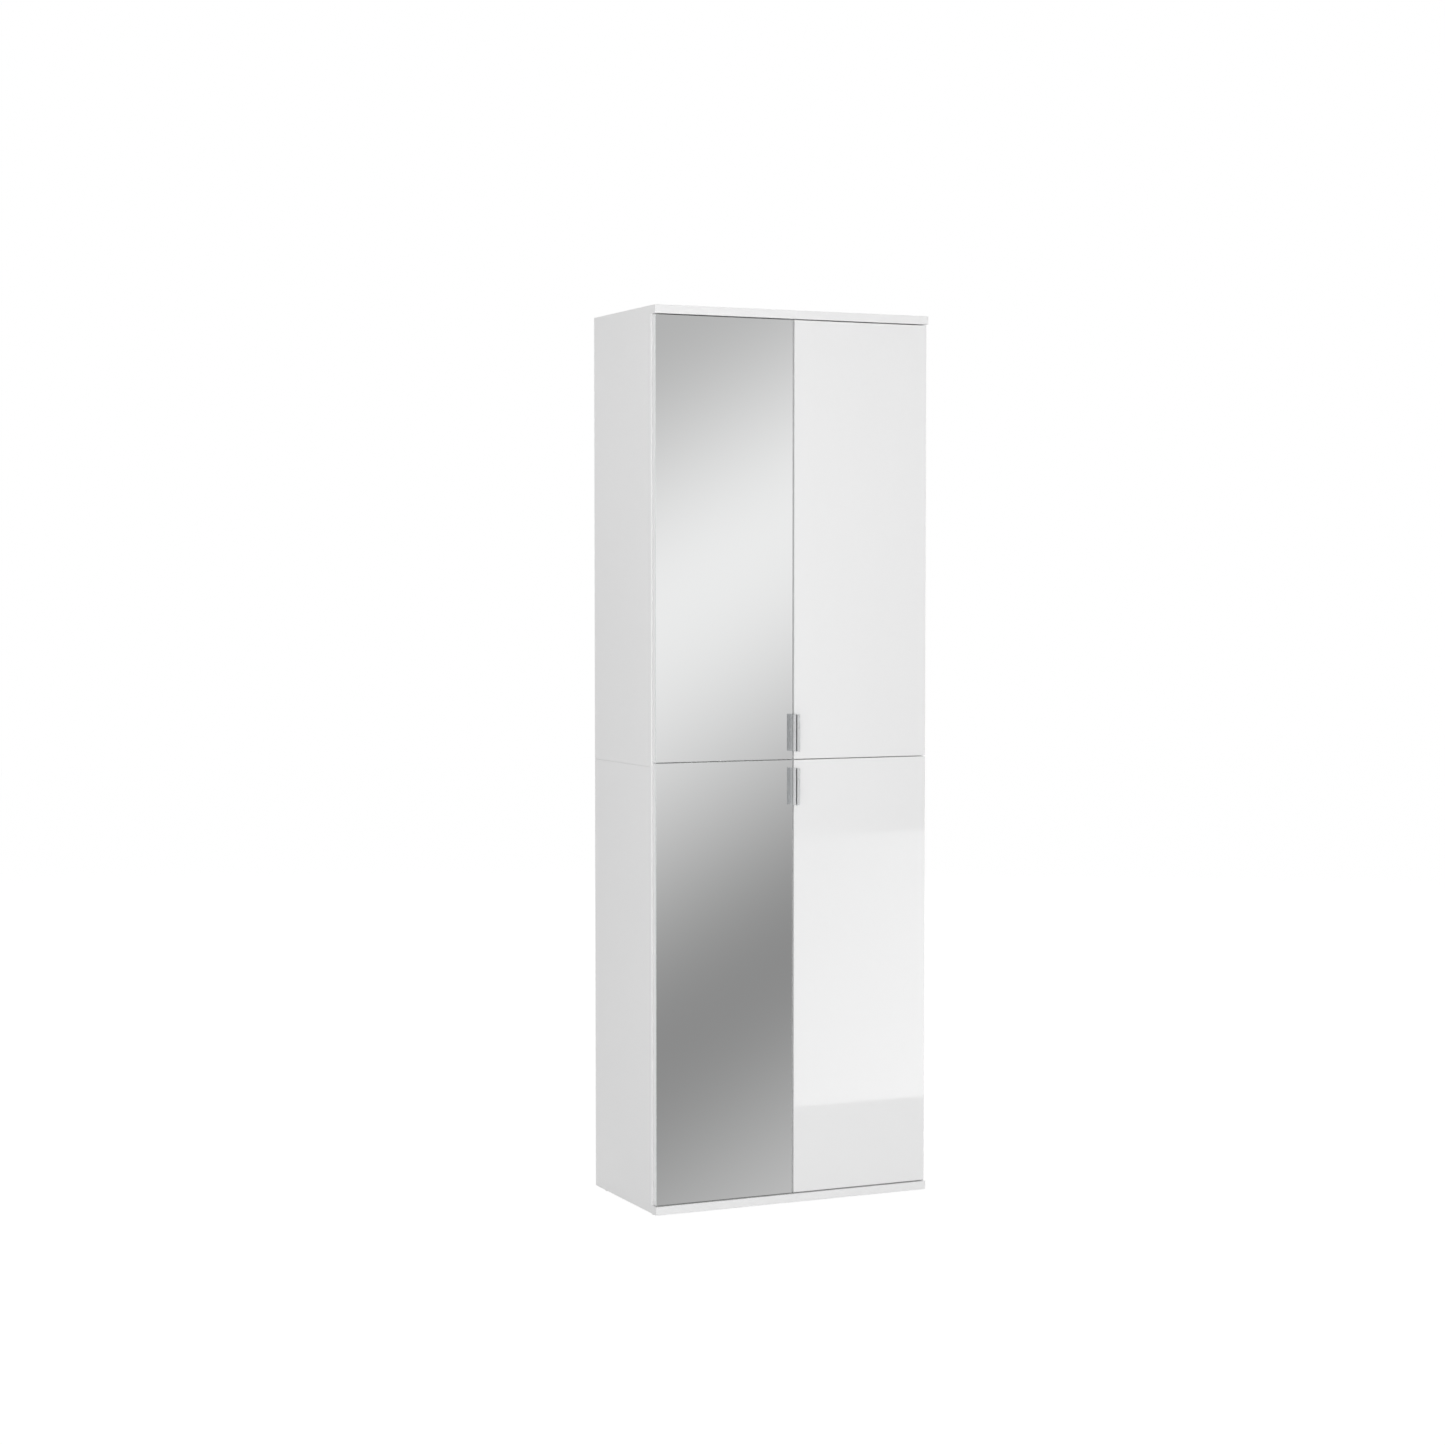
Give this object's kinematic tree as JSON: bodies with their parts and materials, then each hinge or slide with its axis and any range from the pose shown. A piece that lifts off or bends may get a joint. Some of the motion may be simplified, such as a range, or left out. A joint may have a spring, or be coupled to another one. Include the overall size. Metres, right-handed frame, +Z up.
{
  "type": "armoire",
  "caption": "Tall white armoire of paired narrow columns with hinged doors, mirror-faced on the left and gloss white on the right, loose shelves and short metal edge pulls.",
  "frame": {"origin": "on the floor, below the middle of the bounding box with the doors closed", "axes": "+Z up along the height, the door fronts face -Y, +X to the right as seen from the front (the side of the gloss doors)"},
  "size_m": [0.65, 0.3544, 1.93],
  "materials": {
    "white_board": "white melamine-faced particle board with matching edge banding, fine satin grain",
    "gloss_white": "white high-gloss faced board",
    "mirror": "silvered float glass",
    "hardboard": "thin hardboard, white lacquered",
    "pull_metal": "brushed, clear anodised",
    "hinge_nickel": "nickel plated",
    "pin_steel": "bright steel",
    "screw_steel": "zinc plated",
    "plated_steel": "zinc plated",
    "zinc": "die-cast zinc, tumbled",
    "beech": "raw fluted beech",
    "white_plastic": "matte",
    "clear_rubber": "clear soft polyurethane"
  },
  "bodies": {
    "carcass": {"cam_bolts": "plated_steel", "cam_locks": "zinc", "column_connectors": "screw_steel", "door_bumpers": "clear_rubber", "dowels": "beech", "floor_glides": "white_plastic", "hinge_arms": "hinge_nickel", "hinge_plates": "hinge_nickel", "left_bottom_panel": "white_board", "left_lower_back": "hardboard", "left_lower_inner_side": "white_board", "left_lower_outer_side": "white_board", "left_lower_shelf_high": "white_board", "left_lower_shelf_low": "white_board", "left_mid_panel": "white_board", "left_top_panel": "white_board", "left_upper_back": "hardboard", "left_upper_inner_side": "white_board", "left_upper_outer_side": "white_board", "left_upper_shelf_high": "white_board", "left_upper_shelf_low": "white_board", "panel_screws": "screw_steel", "right_bottom_panel": "white_board", "right_lower_back": "hardboard", "right_lower_inner_side": "white_board", "right_lower_outer_side": "white_board", "right_lower_shelf_high": "white_board", "right_lower_shelf_low": "white_board", "right_mid_panel": "white_board", "right_top_panel": "white_board", "right_upper_back": "hardboard", "right_upper_inner_side": "white_board", "right_upper_outer_side": "white_board", "right_upper_shelf_high": "white_board", "right_upper_shelf_low": "white_board", "seam_brackets": "plated_steel", "shelf_pegs": "plated_steel", "wall_brackets": "plated_steel"},
    "lower_left_door_body": {"lower_left_door": "white_board", "lower_left_hinge_cups": "hinge_nickel", "lower_left_hinge_pins": "pin_steel", "lower_left_mirror": "mirror", "lower_left_pull": "pull_metal", "lower_left_pull_screws": "screw_steel"},
    "lower_right_door_body": {"lower_right_door": "gloss_white", "lower_right_hinge_cups": "hinge_nickel", "lower_right_hinge_pins": "pin_steel", "lower_right_pull": "pull_metal", "lower_right_pull_screws": "screw_steel"},
    "upper_left_door_body": {"upper_left_door": "white_board", "upper_left_hinge_cups": "hinge_nickel", "upper_left_hinge_pins": "pin_steel", "upper_left_mirror": "mirror", "upper_left_pull": "pull_metal", "upper_left_pull_screws": "screw_steel"},
    "upper_right_door_body": {"upper_right_door": "gloss_white", "upper_right_hinge_cups": "hinge_nickel", "upper_right_hinge_pins": "pin_steel", "upper_right_pull": "pull_metal", "upper_right_pull_screws": "screw_steel"}
  },
  "joints": [
    {"name": "lower_left_door_hinge", "type": "hinge", "parent": "carcass", "child": "lower_left_door_body", "pos_m": [-0.31642, -0.15165, 0.4945], "axis": [0, 0, -1], "range_deg": [0, 95]},
    {"name": "lower_right_door_hinge", "type": "hinge", "parent": "carcass", "child": "lower_right_door_body", "pos_m": [0.31642, -0.15165, 0.4945], "axis": [0, 0, 1], "range_deg": [0, 95]},
    {"name": "upper_left_door_hinge", "type": "hinge", "parent": "carcass", "child": "upper_left_door_body", "pos_m": [-0.31642, -0.15165, 1.4385], "axis": [0, 0, -1], "range_deg": [0, 95]},
    {"name": "upper_right_door_hinge", "type": "hinge", "parent": "carcass", "child": "upper_right_door_body", "pos_m": [0.31642, -0.15165, 1.4385], "axis": [0, 0, 1], "range_deg": [0, 95]}
  ]
}
